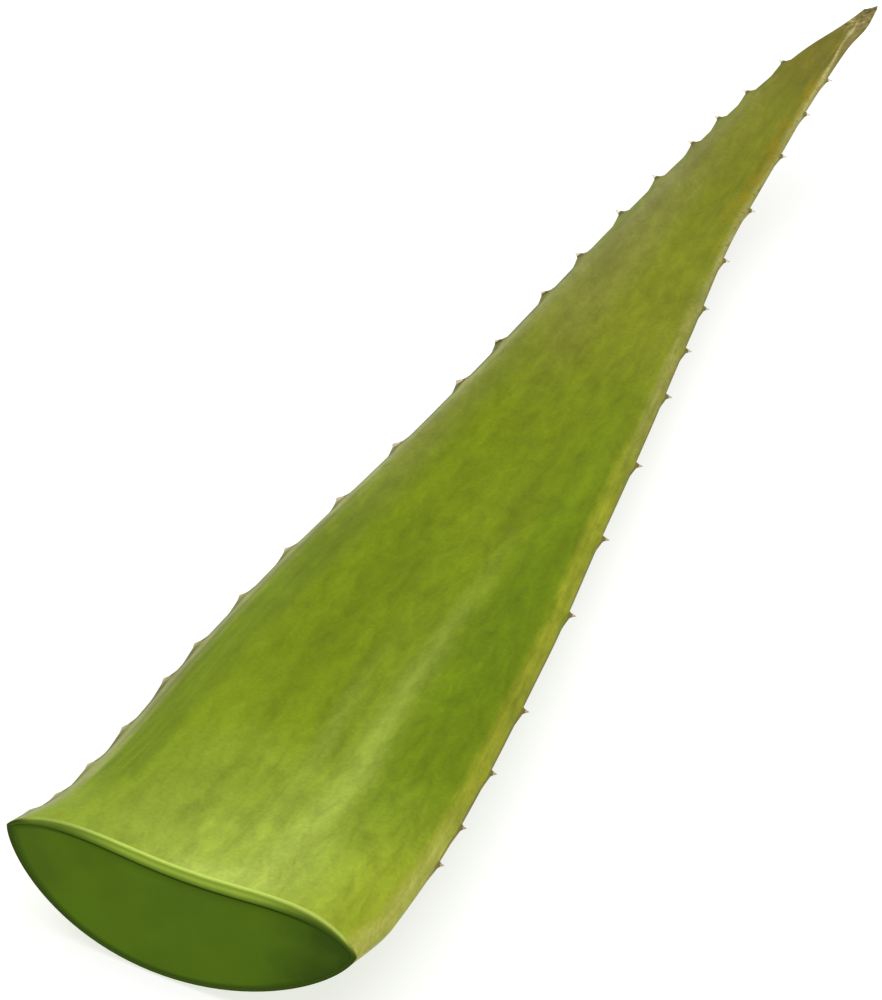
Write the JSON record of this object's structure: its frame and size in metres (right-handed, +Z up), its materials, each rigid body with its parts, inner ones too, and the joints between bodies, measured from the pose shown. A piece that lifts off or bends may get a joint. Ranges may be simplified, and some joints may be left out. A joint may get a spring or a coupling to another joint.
{
  "type": "aloe vera leaf",
  "caption": "Thick tapering succulent leaf with toothed margins, lying on its rounded back, cut across its base to show the gel inside its rind.",
  "frame": {"origin": "bottom centre of the leaf's bounding box, on the surface that it lies on", "axes": "+Z up; +Y along the leaf from its cut base to its tip; +X to the right as seen from the cut end"},
  "size_m": [0.076, 0.4524, 0.0409],
  "materials": {
    "rind": "waxy satin leaf skin, olive to yellow green, browner at the tip",
    "gel": "wet dark green cut flesh"
  },
  "bodies": {
    "root": {"rind": "rind", "gel": "gel"}
  },
  "joints": []
}
